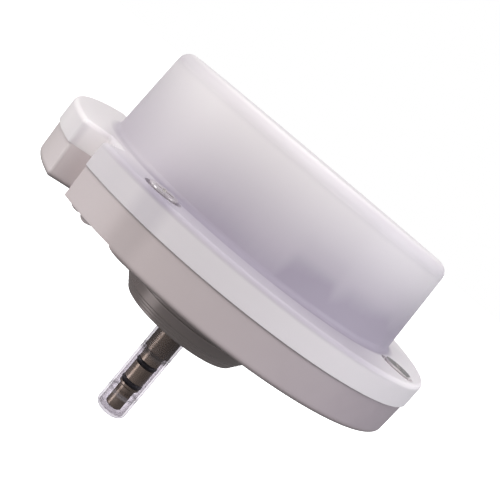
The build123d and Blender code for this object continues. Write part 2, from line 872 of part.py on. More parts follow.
# ---- Gear plate: carries the motor and the switches above the train ------------------------------
with BuildPart() as gear_plate:
    with BuildSketch(Plane.XY.offset(plate_bottom)):
        with Locations(*post_points, first_axis, (-(switch_face + switch_depth), 0)):
            Circle(plate_margin)
        with Locations(motor_axis):
            Circle(end_plate_radius)
        make_hull()
        with Locations(relay_place):
            Rectangle(
                relay_size[0] + 2 * relay_clearance,
                relay_size[1] + 2 * relay_clearance,
                mode=Mode.SUBTRACT,
            )
    extrude(amount=plate_thickness)
    with Locations((0, 0, plate_top)):
        Hole(cam_land_radius + running_clearance, depth=plate_thickness)
    with Locations(*at_level([intermediate_axis, first_axis], plate_top)):
        Hole(axle_radius, depth=plate_thickness)
    with Locations(*at_level(post_points, plate_top)):
        Hole(plate_screw_radius, depth=plate_thickness)
    with Locations((*motor_axis, plate_top)):
        Hole(motor_shaft_radius + motor_shaft_clearance, depth=plate_thickness)
    with Locations(*at_level(motor_screw_points, plate_top)):
        Hole(motor_screw_radius, depth=plate_thickness)
    with Locations(*at_level(switch_screw_points, plate_top)):
        Hole(switch_screw_radius, depth=plate_thickness)

with BuildPart() as plate_screws:
    screw_group(
        at_level(post_points, plate_top),
        plate_screw_head_radius,
        plate_screw_head_height,
        plate_screw_radius,
        plate_screw_length,
    )

# ---- Motor ---------------------------------------------------------------------------------------
with BuildPart() as motor_end_plate:
    with Locations((*motor_axis, plate_top)):
        Cylinder(end_plate_radius, end_plate_thickness, align=(Align.CENTER, Align.CENTER, Align.MIN))
        Cylinder(
            motor_shaft_radius + running_clearance,
            end_plate_thickness,
            align=(Align.CENTER, Align.CENTER, Align.MIN),
            mode=Mode.SUBTRACT,
        )
    with Locations(*at_level(motor_screw_points, plate_top + end_plate_thickness)):
        Hole(motor_screw_radius, depth=end_plate_thickness)

with BuildPart() as motor_can:
    with Locations((*motor_axis, plate_top + end_plate_thickness)):
        Cylinder(motor_radius, motor_height, align=(Align.CENTER, Align.CENTER, Align.MIN))
    fillet(motor_can.edges().group_by(Axis.Z)[-1], radius=motor_edge_radius)
    with Locations((*motor_axis, plate_top + end_plate_thickness)):
        Cylinder(
            motor_shaft_radius + running_clearance,
            motor_shaft_reach,
            align=(Align.CENTER, Align.CENTER, Align.MIN),
            mode=Mode.SUBTRACT,
        )
    with Locations(*at_level(motor_screw_points, plate_top + end_plate_thickness)):
        Cylinder(
            motor_screw_radius,
            motor_screw_length - plate_thickness - end_plate_thickness,
            align=(Align.CENTER, Align.CENTER, Align.MIN),
            mode=Mode.SUBTRACT,
        )

with BuildPart() as motor_screws:
    screw_group(
        at_level(motor_screw_points, plate_bottom),
        motor_screw_head_radius,
        motor_screw_head_height,
        motor_screw_radius,
        motor_screw_length,
        upward=False,
    )


# ---- Switch cam: two opposed spiral cams on one core ---------------------------------------------
def cam_outline(high_angle, way):
    """Cam that falls evenly over its ramp from the high dwell, then steps back up behind the dwell."""
    ramp = [
        polar(
            cam_high_radius - (cam_high_radius - cam_low_radius) * step / cam_steps,
            high_angle + way * cam_ramp * step / cam_steps,
        )
        for step in range(cam_steps + 1)
    ]
    with BuildSketch() as outline:
        with BuildLine():
            Spline(*ramp)
            CenterArc((0, 0), cam_low_radius, high_angle + way * cam_ramp, way * (360 - cam_ramp - cam_dwell))
            Line(polar(cam_low_radius, high_angle - way * cam_dwell), polar(cam_high_radius, high_angle - way * cam_dwell))
            CenterArc((0, 0), cam_high_radius, high_angle - way * cam_dwell, way * cam_dwell)
        make_face()
    return outline.sketch


with BuildPart() as switch_cam:
    with BuildSketch(Plane.XY.offset(cam_bottom)):
        Circle(cam_core_radius)
    extrude(amount=cam_top - cam_bottom)
    with BuildSketch(Plane.XY.offset(cam_bottom)):
        add(cam_outline(180, -1))
    extrude(amount=cam_height)
    with BuildSketch(Plane.XY.offset(cam_top - cam_height)):
        add(cam_outline(180 - cam_ramp, 1))
    extrude(amount=cam_height)
    with BuildSketch(Plane.XY.offset(cam_bottom)):
        add(flatted_disc(cam_land_radius))
    extrude(amount=cam_top - cam_bottom, mode=Mode.SUBTRACT)


# ---- Snap switches: two stacked bodies, each with a plunger that follows its cam -----------------
def switch_body(bottom, middle, tip_radius_at_rest):
    """Switch case with its plunger bore and the two holes for the long screws."""
    with Locations((switch_x, 0, bottom)):
        Box(switch_depth, switch_length, switch_height, align=(Align.CENTER, Align.CENTER, Align.MIN))
    with Locations(Plane(origin=(-tip_radius_at_rest, 0, middle), z_dir=(-1, 0, 0))):
        Cylinder(
            plunger_radius + running_clearance,
            plunger_length + cam_high_radius - cam_low_radius + cam_gap,
            align=(Align.CENTER, Align.CENTER, Align.MIN),
            mode=Mode.SUBTRACT,
        )
    with Locations(*at_level(switch_screw_points, bottom + switch_height)):
        Hole(switch_screw_radius, depth=switch_height)


def plunger_pin(middle, tip):
    """Plunger with its tip towards the cam."""
    with Locations(Plane(origin=(-tip, 0, middle), z_dir=(-1, 0, 0))):
        Cylinder(plunger_radius, plunger_length, align=(Align.CENTER, Align.CENTER, Align.MIN))


pressed_tip = cam_high_radius + cam_gap
released_tip = cam_low_radius + cam_gap
with BuildPart() as lower_switch:
    switch_body(lower_switch_bottom, lower_cam_middle, pressed_tip)

with BuildPart() as upper_switch:
    switch_body(upper_switch_bottom, upper_cam_middle, released_tip)

with BuildPart() as lower_plunger:
    plunger_pin(lower_cam_middle, pressed_tip)

with BuildPart() as upper_plunger:
    plunger_pin(upper_cam_middle, released_tip)

with BuildPart() as switch_terminals:
    for middle in (lower_cam_middle, upper_cam_middle):
        for place in (-1, 0, 1):
            with Locations((-(switch_face + switch_depth), place * terminal_spread, middle)):
                Box(*terminal_blade, align=(Align.MAX, Align.CENTER, Align.CENTER))

with BuildPart() as switch_screws:
    screw_group(
        at_level(switch_screw_points, switch_stack_top),
        switch_screw_head_radius,
        switch_screw_head_height,
        switch_screw_radius,
        switch_stack_top - plate_bottom,
    )

# ---- Circuit board with its relay, capacitor and terminal block ----------------------------------
with BuildPart() as circuit_board:
    with BuildSketch(Plane.XY.offset(floor_top + board_lift)):
        board_start, board_end = board_angles
        board_middle = (board_start + board_end) / 2
        with BuildLine():
            ThreePointArc(
                polar(board_outer_radius, board_start),
                polar(board_outer_radius, board_middle),
                polar(board_outer_radius, board_end),
            )
            Line(polar(board_outer_radius, board_end), polar(board_inner_radius, board_end))
            ThreePointArc(
                polar(board_inner_radius, board_end),
                polar(board_inner_radius, board_middle),
                polar(board_inner_radius, board_start),
            )
            Line(polar(board_inner_radius, board_start), polar(board_outer_radius, board_start))
        make_face()
        with Locations(*post_points):
            Circle(post_radius + gear_end_gap, mode=Mode.SUBTRACT)
        with Locations(*board_post_points):
            Circle(board_screw_radius, mode=Mode.SUBTRACT)
    extrude(amount=board_thickness)

with BuildPart() as board_screws:
    screw_group(
        at_level(board_post_points, board_top),
        board_screw_head_radius,
        board_screw_head_height,
        board_screw_radius,
        board_screw_length,
    )

with BuildPart() as relay:
    with Locations((*relay_place, board_top)):
        Box(*relay_size, align=(Align.CENTER, Align.CENTER, Align.MIN))
    fillet(relay.edges().filter_by(Axis.Z), radius=corner_radius)

with BuildPart() as capacitor:
    with Locations(Location((*capacitor_point, board_top), (0, 0, capacitor_place[1]))):
        Box(*capacitor_size, align=(Align.CENTER, Align.CENTER, Align.MIN))
    fillet(capacitor.edges().group_by(Axis.Z)[-1], radius=corner_radius)

block_plane = Plane(
    origin=(*terminal_block_point, board_top),
    x_dir=(*polar(1, terminal_block_place[1]), 0),
)
way_offsets = [(place - (terminal_ways - 1) / 2) * terminal_pitch for place in range(terminal_ways)]
with BuildPart(block_plane) as terminal_block:
    Box(*terminal_block_size, align=(Align.CENTER, Align.CENTER, Align.MIN))
    with Locations(*[(0, place, terminal_block_size[2]) for place in way_offsets]):
        Hole(terminal_screw_radius, depth=terminal_screw_depth)
    for place in way_offsets:
        with Locations(Location((terminal_block_size[0] / 2, place, terminal_wire_height), (0, 90, 0))):
            Cylinder(
                terminal_wire_radius,
                terminal_block_size[0],
                mode=Mode.SUBTRACT,
            )

with BuildPart(block_plane) as terminal_screws:
    with Locations(*[(0, place, terminal_block_size[2] - terminal_screw_depth) for place in way_offsets]):
        Cylinder(terminal_screw_radius, terminal_screw_depth / 2, align=(Align.CENTER, Align.CENTER, Align.MIN))
    with Locations(*[(0, place, terminal_block_size[2] - terminal_screw_depth / 2) for place in way_offsets]):
        Box(2 * terminal_screw_radius, slot_width, slot_depth, mode=Mode.SUBTRACT)

# ---- Cable entry: grommet in the lobe's wall and a clamp bar behind it ---------------------------
with BuildPart() as cable_grommet:
    with Locations(entry_plane):
        Cylinder(neck_radius, entry_length, align=(Align.CENTER, Align.CENTER, Align.MIN))
    with Locations(Plane(origin=(-collar_start, 0, cable_level), z_dir=(1, 0, 0))):
        Cylinder(collar_radius, grommet_collar_thickness, align=(Align.CENTER, Align.CENTER, Align.MIN))
    with Locations(entry_plane):
        Cylinder(cable_radius, entry_length, align=(Align.CENTER, Align.CENTER, Align.MIN), mode=Mode.SUBTRACT)

with BuildPart() as cable_clamp:
    with Locations((clamp_x, 0, clamp_bottom)):
        Box(clamp_width, clamp_length, clamp_thickness, align=(Align.CENTER, Align.CENTER, Align.MIN))
    fillet(cable_clamp.edges().filter_by(Axis.Z), radius=corner_radius)
    with Locations(Plane(origin=(clamp_x, 0, cable_level), z_dir=(1, 0, 0))):
        Cylinder(cable_radius, clamp_width, mode=Mode.SUBTRACT)
    with Locations(*at_level(clamp_points, clamp_bottom + clamp_thickness)):
        Hole(clamp_screw_radius, depth=clamp_thickness)

with BuildPart() as clamp_screws:
    screw_group(
        at_level(clamp_points, clamp_bottom + clamp_thickness),
        clamp_screw_head_radius,
        clamp_screw_head_height,
        clamp_screw_radius,
        clamp_screw_length,
    )

pieces = {
    "base_shell": base_shell,
    "top_cover": top_cover,
    "cover_gasket": cover_gasket,
    "cover_screws": cover_screws,
    "adapter_hub": adapter_hub,
    "hub_screws": hub_screws,
    "spindle_bush": spindle_bush,
    "spindle": spindle,
    "spindle_seals": spindle_seals,
    "retaining_ring": retaining_ring,
    "transport_sleeve": transport_sleeve,
    "output_gear": output_gear,
    "intermediate_gear": intermediate_gear,
    "first_gear": first_gear,
    "motor_pinion": motor_pinion,
    "gear_axles": gear_axles,
    "gear_plate": gear_plate,
    "plate_screws": plate_screws,
    "motor_end_plate": motor_end_plate,
    "motor_can": motor_can,
    "motor_screws": motor_screws,
    "switch_cam": switch_cam,
    "lower_switch": lower_switch,
    "upper_switch": upper_switch,
    "lower_plunger": lower_plunger,
    "upper_plunger": upper_plunger,
    "switch_terminals": switch_terminals,
    "switch_screws": switch_screws,
    "circuit_board": circuit_board,
    "board_screws": board_screws,
    "relay": relay,
    "capacitor": capacitor,
    "terminal_block": terminal_block,
    "terminal_screws": terminal_screws,
    "cable_grommet": cable_grommet,
    "cable_clamp": cable_clamp,
    "clamp_screws": clamp_screws,
}

os.makedirs("parts", exist_ok=True)
for piece_name, piece in pieces.items():
    piece.part.label = piece_name
    export_step(piece.part, f"parts/{piece_name}.step")
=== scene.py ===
"""Looks of a motorised actuator head: a round housing on a dark hub, with its spindle in a clear sleeve."""

import math

import bmesh
import bpy
from mathutils import Matrix, Vector

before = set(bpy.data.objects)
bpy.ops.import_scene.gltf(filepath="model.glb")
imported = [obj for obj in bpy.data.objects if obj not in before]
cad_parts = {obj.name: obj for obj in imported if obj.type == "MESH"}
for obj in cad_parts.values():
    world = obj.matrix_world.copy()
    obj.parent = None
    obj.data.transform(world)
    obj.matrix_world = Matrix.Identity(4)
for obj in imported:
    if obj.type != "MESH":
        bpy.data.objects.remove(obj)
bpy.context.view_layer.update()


# ---- Base shell -----------------------------------------------------------------------------------
# Shallow tray moulded in warm white ABS, spark-eroded to a fine satin outside. The posts, bosses and
# the floor are one shot with it, so the whole tray shares one finish with faint flow shading. Its colour
# also carries painted light and shade: painted shade towards the far side, over the front screw boss
# and along the foot, and painted light on the lobe and beside the front notch.
MM = 0.001


class Wire:
    """An output of a shader node, which can be used in sums like a number."""

    def __init__(self, finish, socket):
        self.finish = finish
        self.socket = socket

    def math(self, operation, *values):
        return self.finish.node("ShaderNodeMath", {"operation": operation}, dict(enumerate(values)))

    def __add__(self, other):
        return self.math("ADD", self, other)

    def __sub__(self, other):
        return self.math("SUBTRACT", self, other)

    def __rsub__(self, other):
        return self.math("SUBTRACT", other, self)

    def __mul__(self, other):
        return self.math("MULTIPLY", self, other)

    __radd__ = __add__
    __rmul__ = __mul__

    def abs(self):
        return self.math("ABSOLUTE", self)

    def root(self):
        return self.math("SQRT", self)

    def back_and_forth(self, top):
        """Runs from 0 up to the top and down again, over and over."""
        return self.math("PINGPONG", self, top)

    def rise(self, start, end):
        """0 below the start and 1 above the end, smooth between; it falls where the end is lower."""
        return self.finish.node(
            "ShaderNodeMapRange",
            {"interpolation_type": "SMOOTHSTEP"},
            {"Value": self, "From Min": start, "From Max": end},
        )

    def between(self, low, high, soft):
        return self.rise(low - soft, low + soft) * self.rise(high + soft, high - soft)


class Shading:
    """The nodes of a material or a world, and the one way that they are added."""

    def __init__(self, owner):
        owner.use_nodes = True
        self.owner = owner
        self.tree = owner.node_tree
        self.tree.nodes.clear()

    def node(self, kind, settings=None, sockets=None, output=0):
        node = self.tree.nodes.new(kind)
        for key, value in (settings or {}).items():
            setattr(node, key, value)
        for key, value in (sockets or {}).items():
            if isinstance(value, Wire):
                self.tree.links.new(value.socket, node.inputs[key])
            else:
                node.inputs[key].default_value = value
        return Wire(self, node.outputs[output])

    def done(self, shader, kind="ShaderNodeOutputMaterial"):
        end = self.tree.nodes.new(kind)
        self.tree.links.new(shader.socket, end.inputs["Surface"])
        return self.owner


class Finish(Shading):
    """A material whose patterns are placed in the object's own coordinates."""

    def __init__(self, name):
        super().__init__(bpy.data.materials.new(name))
        self.place = self.node("ShaderNodeTexCoord", output="Object")

    def axes(self):
        """The three coordinates in millimetres."""
        split = self.node("ShaderNodeSeparateXYZ", sockets={0: self.place}).socket.node
        return [Wire(self, split.outputs[axis]) * (1 / MM) for axis in range(3)]

    def noise(self, size, detail=3, stretch=(1, 1, 1)):
        """Cloudy pattern from 0 to 1 with spots of about the size given in millimetres."""
        spread = self.node(
            "ShaderNodeMapping", {"vector_type": "POINT"}, {"Vector": self.place, "Scale": stretch}
        )
        return self.node(
            "ShaderNodeTexNoise", sockets={"Vector": spread, "Scale": 1 / (size * MM), "Detail": detail}
        )

    def blend(self, share, first, second):
        """Colour that goes from the first to the second with the share."""
        return self.node(
            "ShaderNodeMix", {"data_type": "RGBA"}, {0: share, 6: shade(first), 7: shade(second)}, output=2
        )

    def bump(self, height, depth):
        return self.node("ShaderNodeBump", sockets={"Height": height, "Distance": depth * MM, "Strength": 1.0})

    def principled(self, **sockets):
        named = {key.replace("_", " "): value for key, value in sockets.items()}
        return self.node("ShaderNodeBsdfPrincipled", sockets=named)


def shade(colour):
    """A colour with its opacity, or a wire as it is."""
    return colour if isinstance(colour, Wire) else (*colour, 1.0)


def dress(finish, *names):
    """Gives CAD nodes a finish through their objects' material slots."""
    for name in names:
        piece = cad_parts[name]
        if not piece.material_slots:
            piece.data.materials.append(finish)
        for slot in piece.material_slots:
            slot.material = finish


def moulded(name, colour, roughness=0.45):
    """Moulded plastic: slow cloudy tone, a fine even grain and a roughness that wanders a little."""
    deep_tone = 0.92
    grain_size = 0.5
    grain_depth = 0.012
    finish = Finish(name)
    cloud = finish.noise(9)
    fine = finish.noise(grain_size, detail=4)
    flow = finish.noise(2.2)
    deep = tuple(value * deep_tone for value in colour)
    return finish.done(
        finish.principled(
            Base_Color=finish.blend(cloud, deep, colour),
            Roughness=roughness - 0.06 + 0.12 * flow,
            Normal=finish.bump(fine, grain_depth),
        )
    )


def beside_notch(across, along):
    """1 on the stretch of the wall between the front notch and the first screw boss."""
    wall_x, notch_x = -20, -29
    wall_y, notch_y = -14, -22
    return across.rise(wall_x, notch_x) * along.rise(wall_y, notch_y)


def over_boss(across, along, start_y):
    """1 on the wall outside the front screw boss, where the plastic is thick; painted shade goes there."""
    boss_x, half_width, soft, wall_y = -20, 2.6, 1.6, -36
    return (across - boss_x).between(-half_width, half_width, soft) * along.rise(start_y, wall_y)


warm_white = (0.545, 0.478, 0.475)
# Painted shade: the tray's far side is painted darker, as a shaded copy of its plastic.
far_side_painted_shade = (0.37, 0.32, 0.35)
# Painted light: the lobe is painted lighter, for light glowing through its plastic.
lobe_painted_glow = (0.72, 0.655, 0.65)
# Painted light on the wall beside the front notch.
notch_side_painted_light = (0.70, 0.64, 0.65)
# Painted shadow of the front screw boss behind the wall.
boss_painted_shadow = (0.36, 0.31, 0.31)
flow_white = (0.62, 0.56, 0.57)
# Painted shade along the foot of the wall.
foot_painted_shade = (0.20, 0.165, 0.16)
near_x, far_x = -26, 42
lobe_start_x, lobe_full_x = -35, -38
foot_top, foot_bottom = 13.0, 11.8
base_boss_start_y = -28
# Shares of the painted lobe glow, painted notch light, painted boss shadow, random flow tone and painted foot
# shade.
lobe_glow_share, notch_light_share, boss_shadow_share, flow_share, foot_shade_share = 0.85, 0.35, 0.4, 0.5, 0.6

base_finish = Finish("warm white housing plastic")
across, along, height = base_finish.axes()
cloud = base_finish.noise(14)
grain = base_finish.noise(0.5, detail=4)
lobe = across.rise(lobe_start_x, lobe_full_x)
# Painted shade: the wall is painted darker along its foot, from 13 mm down to 11.8 mm.
foot_shade = height.rise(foot_top, foot_bottom)
# Painted shade: the tray is painted darker towards its far side.
tone = base_finish.blend(across.rise(near_x, far_x), warm_white, far_side_painted_shade)
# Painted light on the lobe.
tone = base_finish.blend(lobe * lobe_glow_share, tone, lobe_painted_glow)
# Painted light beside the front notch.
tone = base_finish.blend(beside_notch(across, along) * notch_light_share, tone, notch_side_painted_light)
# Painted shadow over the front screw boss.
tone = base_finish.blend(over_boss(across, along, base_boss_start_y) * boss_shadow_share, tone, boss_painted_shadow)
tone = base_finish.blend((cloud - 0.5).abs() * flow_share, tone, flow_white)
dress(
    base_finish.done(
        base_finish.principled(
            Base_Color=base_finish.blend(foot_shade * foot_shade_share, tone, foot_painted_shade),
            Roughness=0.34 + 0.12 * cloud,
            Normal=base_finish.bump(grain, 0.01),
        )
    ),
    "base_shell",
)


# ---- Adapter hub ----------------------------------------------------------------------------------
# Ringed boss turned from zinc die-cast and plated a dark warm grey. Fine turning marks run round it.
# The corners of its rings carry a painted highlight, and the plating is painted darker on the far side.
along_the_axis_only = (0.04, 0.04, 1)


def turned(name, colour, worn, roughness, depth=0.006, pitch=0.22, metallic=1.0):
    """Turned metal: close rings of tool marks up the axis, with a cloudy tone over them."""
    finish = Finish(name)
    marks = finish.noise(pitch, detail=2, stretch=along_the_axis_only)
    cloud = finish.noise(5)
    return finish.done(
        finish.principled(
            Base_Color=finish.blend(cloud.rise(0.35, 0.75), colour, worn),
            Metallic=metallic,
            Roughness=roughness - 0.05 + 0.1 * marks,
            Normal=finish.bump(marks, depth),
        )
    )


# Painted light and shade: the plating is painted lighter on the near side and darker on the far side.
lit_side_plating = (0.285, 0.236, 0.226)
shaded_side_plating = (0.235, 0.205, 0.197)
# Paler plating for the painted highlight on the ring corners, also mixed in as a cloudy random tone.
highlight_and_cloud_plating = (0.42, 0.37, 0.35)
near_x, far_x = -16, 17
ring_corners = ((0.55, 0.85, 0.1), (1.25, 1.55, 0.1), (4.0, 4.2, 0.08))

hub_finish = Finish("dark plated hub")
across, _, height = hub_finish.axes()
marks = hub_finish.noise(0.25, detail=2, stretch=along_the_axis_only)
cloud = hub_finish.noise(5)
# Painted highlight mask on the corners of the rings.
ring_corner_highlight = sum(height.between(*levels) for levels in ring_corners)
dress(
    hub_finish.done(
        hub_finish.principled(
            Base_Color=hub_finish.blend(
                ring_corner_highlight * 0.35 + cloud * 0.1,
                hub_finish.blend(across.rise(near_x, far_x), lit_side_plating, shaded_side_plating),
                highlight_and_cloud_plating,
            ),
            Metallic=0.3,
            Roughness=0.24 + 0.1 * cloud,
            Normal=hub_finish.bump(marks, 0.008),
        )
    ),
    "adapter_hub",
)
dress(turned("bronze bush", (0.55, 0.36, 0.17), (0.62, 0.42, 0.22), 0.35), "spindle_bush")


# ---- Spindle --------------------------------------------------------------------------------------
# Stepped stem turned from brass rod and nickel plated, warm where the plating is thin. A circlip
# holds it above the bush, and two black nitrile rings sit in its grooves.
nickel = (0.53, 0.445, 0.33)
thin_nickel = (0.70, 0.61, 0.48)
dress(turned("warm nickel", nickel, thin_nickel, 0.22, depth=0.0002, pitch=0.9), "spindle")
dress(turned("spring steel", (0.42, 0.42, 0.44), (0.5, 0.5, 0.52), 0.35), "retaining_ring")


def rubber(name, colour, roughness=0.55):
    """Moulded rubber: near black, with a dusty bloom in cloudy patches."""
    dust = 2.2
    finish = Finish(name)
    bloom = finish.noise(1.6)
    grain = finish.noise(0.18, detail=3)
    dusty = tuple(value * dust for value in colour)
    return finish.done(
        finish.principled(
            Base_Color=finish.blend(bloom.rise(0.5, 0.9) * 0.6, colour, dusty),
            Roughness=roughness + 0.15 * bloom,
            Normal=finish.bump(grain, 0.008),
        )
    )


dress(rubber("black nitrile", (0.012, 0.012, 0.013), 0.35), "spindle_seals")


# ---- Transport sleeve -----------------------------------------------------------------------------
# Clear tube with a closed end, pushed over the spindle to keep its seals clean until it is fitted.
# Moulded in polystyrene: glossy, with painted shade where a wall is seen edge on, frosted at the gate,
# and with a painted reflection of the dark hub at its mouth.
pale_wall = (0.50, 0.475, 0.51)
# Painted shade for the walls where they are seen edge on.
edge_on_painted_shade = (0.27, 0.245, 0.255)
# Painted reflection of the dark hub at the sleeve's mouth.
mouth_painted_reflection = (0.09, 0.075, 0.065)
smoky_clear = (0.84, 0.82, 0.845, 1)
frost_start, frost_full = -21.5, -24.3
mouth_start, mouth_full = -9.4, -8.6
snap_grooves = ((-8.6, -7.8, 0.25), (-19.7, -18.9, 0.25))

sleeve_finish = Finish("clear polystyrene")
height = sleeve_finish.axes()[2]
edge = sleeve_finish.node("ShaderNodeLayerWeight", sockets={"Blend": 0.45}, output="Facing")
gloss = sleeve_finish.node("ShaderNodeFresnel", sockets={"IOR": 1.38})
haze = sleeve_finish.noise(0.9)
frost = height.rise(frost_start, frost_full)
mouth = height.rise(mouth_start, mouth_full)
snap = sum(height.between(*levels) for levels in snap_grooves)
# Painted shade, darker where a wall is seen edge on.
sides = sleeve_finish.blend(edge * (1 - frost), pale_wall, edge_on_painted_shade)
# The wall's colour carries the painted reflection of the hub at the mouth.
wall = sleeve_finish.principled(
    Base_Color=sleeve_finish.blend(mouth * 0.7, sides, mouth_painted_reflection),
    Roughness=0.12 + 0.3 * frost,
    Specular_IOR_Level=0.6,
    Normal=sleeve_finish.bump(haze, 0.02),
)
clear = sleeve_finish.node("ShaderNodeBsdfTransparent", sockets={"Color": smoky_clear})
# More wall shows with painted shade at the edges and painted reflection at the mouth, besides gloss, frost,
# grooves and haze.
share = gloss * 0.16 + edge * edge * 0.3 + frost * 0.14 + snap * 0.25 + mouth * 0.14 + haze * 0.02
dress(
    sleeve_finish.done(sleeve_finish.node("ShaderNodeMixShader", sockets={0: share, 1: clear, 2: wall})),
    "transport_sleeve",
)


# ---- Gear train -----------------------------------------------------------------------------------
# Acetal wheels with moulded teeth, running on ground steel axles; the rotor's pinion is brass.
dress(moulded("natural acetal", (0.78, 0.77, 0.72), 0.4), "output_gear", "intermediate_gear", "first_gear")
dress(turned("hobbed brass", (0.70, 0.50, 0.20), (0.76, 0.58, 0.28), 0.3), "motor_pinion")
dress(turned("ground steel", (0.55, 0.55, 0.57), (0.62, 0.62, 0.64), 0.2), "gear_axles")


# ---- Gear plate and motor -------------------------------------------------------------------------
# Pressed steel plate, zinc plated with a faint spangle, that carries the motor in its drawn can.
# Small bright zinc screws with cross recesses hold the plate, the motor and the rest of the works.
def plated(name, colour, worn, roughness=0.32):
    """Zinc plated sheet: a spangle of dull and bright patches under fine rolling lines."""
    finish = Finish(name)
    spangle = finish.noise(2.5, detail=5)
    lines = finish.noise(0.3, detail=2, stretch=(0.03, 1, 1))
    return finish.done(
        finish.principled(
            Base_Color=finish.blend(spangle.rise(0.3, 0.7), colour, worn),
            Metallic=1.0,
            Roughness=roughness + 0.12 * spangle,
            Normal=finish.bump(lines, 0.004),
        )
    )


dress(
    plated("zinc plated steel", (0.50, 0.51, 0.52), (0.62, 0.63, 0.64)),
    "gear_plate",
    "motor_end_plate",
)
dress(plated("drawn motor can", (0.40, 0.41, 0.43), (0.50, 0.51, 0.53), 0.28), "motor_can")
dress(
    turned("bright zinc screws", (0.74, 0.71, 0.70), (0.90, 0.88, 0.87), 0.17, depth=0.01, metallic=0.85),
    "cover_screws",
    "hub_screws",
    "plate_screws",
    "motor_screws",
    "switch_screws",
    "board_screws",
    "terminal_screws",
    "clamp_screws",
)


# ---- Switches and cam -----------------------------------------------------------------------------
# Two snap switches moulded in black phenolic, with white plungers, and the grey cam they follow.
dress(moulded("black switch case", (0.035, 0.033, 0.034), 0.4), "lower_switch", "upper_switch")
dress(moulded("white plunger", (0.80, 0.79, 0.75), 0.35), "lower_plunger", "upper_plunger")
dress(moulded("grey cam acetal", (0.45, 0.46, 0.48), 0.4), "switch_cam")
dress(plated("tinned brass", (0.66, 0.62, 0.52), (0.74, 0.70, 0.60), 0.25), "switch_terminals")


# ---- Circuit board --------------------------------------------------------------------------------
# Glass epoxy board under green resist, with copper tracks that show as paler lines, and its parts.
resist_green = (0.03, 0.16, 0.07)
track_green = (0.09, 0.32, 0.14)
lanes_per_mm = 0.55
track_low, track_high, track_soft = 0.42, 0.62, 0.05

board_finish = Finish("green circuit board")
across = board_finish.axes()[0]
weave = board_finish.noise(0.35, detail=2)
lane = (across * lanes_per_mm).back_and_forth(1.0)
track = lane.between(track_low, track_high, track_soft) * board_finish.noise(6).rise(0.42, 0.55)
dress(
    board_finish.done(
        board_finish.principled(
            Base_Color=board_finish.blend(track, resist_green, track_green),
            Roughness=0.3 + 0.1 * weave,
            Normal=board_finish.bump(track + 0.2 * weave, 0.03),
        )
    ),
    "circuit_board",
)
dress(moulded("relay case", (0.045, 0.045, 0.05), 0.35), "relay")
dress(moulded("capacitor case", (0.55, 0.40, 0.06), 0.4), "capacitor")
dress(moulded("terminal block", (0.10, 0.28, 0.16), 0.45), "terminal_block")


# ---- Cable entry ----------------------------------------------------------------------------------
# Rubber grommet in the lobe's end wall, with a clamp bar inside that would hold the cable's jacket.
dress(rubber("black grommet", (0.018, 0.018, 0.019)), "cable_grommet")
dress(moulded("black clamp bar", (0.05, 0.05, 0.052), 0.45), "cable_clamp")


# ---- Top cover ------------------------------------------------------------------------------------
# Rim, flange and drum moulded in one piece of milky polycarbonate. Light wanders in its wall, so its
# edges glow. Its colour carries painted light and shade: the works inside are painted as soft violet
# shadows where they stand near the wall; the wall is painted darker towards its foot, at the front and
# in a band under its top edge; the flange, the rim and the wall over the front boss get painted shade;
# the right end, the lobe and the window side get painted light. A grey gasket lies in its joint with
# the base.
milky_white = (0.84, 0.805, 0.81)
# Colour of the painted shade and painted shadows on the cover.
violet_painted_shade = (0.335, 0.302, 0.365)
front_angle = -60
# Angle round the axis where the wall is painted lighter, towards the bright window.
window_painted_light_angle = -114
cover_boss_start_y = -30
# Heights between which the wall is painted darker towards its foot.
wall_painted_shade_heights = (47.5, 26.0)
flange_top = (22.9, 23.7)
drum_foot = (37.2, 35.0)
flange_inner = (34.8, 36.0)
rim_inner = (43.0, 44.5)
right_end_x = (20, 38)
lobe_top_x = (-33, -37)
lobe_end_x = (-36, -40)
crest_rise = (41.0, 43.0)
crest_fall = (44.6, 43.8)
# Each painted shadow's angle, half width, top, softness and depth, for the parts that stand near the wall.
shadows = (
    (-76.2, 4.8, 30.6, 1.3, 0.10),
    (-76.2, 4.8, 34.4, 1.4, 0.03),
    (-52, 7.6, 31.5, 1.8, 0.09),
    (-112, 9.0, 29.0, 5.0, 0.05),
    (-27, 11.0, 34.0, 6.0, 0.10),
    (35, 14.0, 30.0, 7.0, 0.12),
    (100, 18.0, 29.0, 7.0, 0.10),
    (160, 9.0, 30.0, 4.0, 0.08),
)

cover_finish = Finish("milky cover plastic")
across, along, height = cover_finish.axes()
outward = (across * across + along * along).root()


def ahead_at(angle):
    """Distance from the axis towards an angle, in millimetres."""
    turn = math.radians(angle)
    return across * math.cos(turn) + along * math.sin(turn)


def works_shadow(angle, half_width, top, soft, depth):
    """Soft shadow on the wall from a body that stands behind it at an angle."""
    inside, wall = 8, 16
    aside = ahead_at(angle + 90).abs()
    low = height.rise(top + soft, top - soft)
    return ahead_at(angle).rise(inside, wall) * aside.rise(half_width + soft, half_width - soft) * low * depth


cloud = cover_finish.noise(12)
front = ahead_at(front_angle)
# Painted shade: darker towards the foot and at the front, lighter on the window side, plus painted shadows of
# the works.
shade_towards_foot = height.rise(*wall_painted_shade_heights)
drum_painted_shade = shade_towards_foot * (0.55 + 0.25 * front.rise(8, 26)) + 0.10 - 0.12 * ahead_at(window_painted_light_angle).rise(24, 34)
for shadow in shadows:
    drum_painted_shade = drum_painted_shade + works_shadow(*shadow)
on_drum = outward.rise(*drum_foot)
on_flange = outward.rise(*flange_inner) * height.rise(*flange_top)
on_rim = outward.rise(*rim_inner) * height.rise(*reversed(flange_top))
# Painted light: the flange is painted lighter at the right end and by the lobe.
end_glow = 0.62 * across.rise(*right_end_x) + 0.30 * across.rise(*lobe_top_x)
